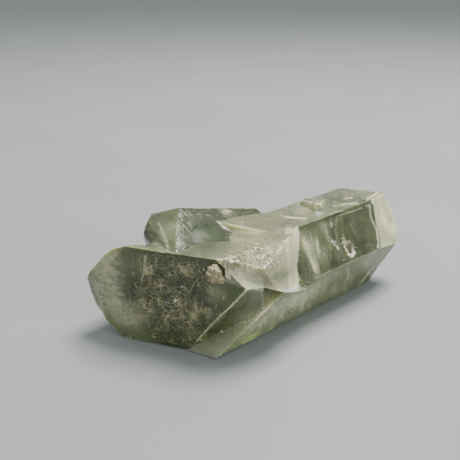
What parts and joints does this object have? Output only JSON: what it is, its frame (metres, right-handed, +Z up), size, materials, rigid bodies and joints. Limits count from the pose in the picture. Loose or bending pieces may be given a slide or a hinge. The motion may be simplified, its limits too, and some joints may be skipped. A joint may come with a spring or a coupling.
{
  "type": "chlorite quartz crystal",
  "caption": "Group of intergrown quartz crystals with green chlorite inclusions, lying flat on one face of its long main prism.",
  "frame": {"origin": "middle of the footprint's bounding box, on the surface that the stone lies on", "axes": "+Z up, +X along the main prism towards its pointed end, +Y towards the back crystals"},
  "size_m": [0.0732, 0.0372, 0.0267],
  "materials": {
    "quartz": "translucent grey-green quartz, natural faces with growth steps, frosted in places",
    "chlorite": "dull dark green to brown chlorite grains and threads inside the quartz",
    "pale_thread": "pale cream-green threads and flakes inside the quartz",
    "crust": "dull cream and pinkish crust on the surface"
  },
  "bodies": {
    "root": {"quartz_group": "quartz"}
  },
  "joints": []
}
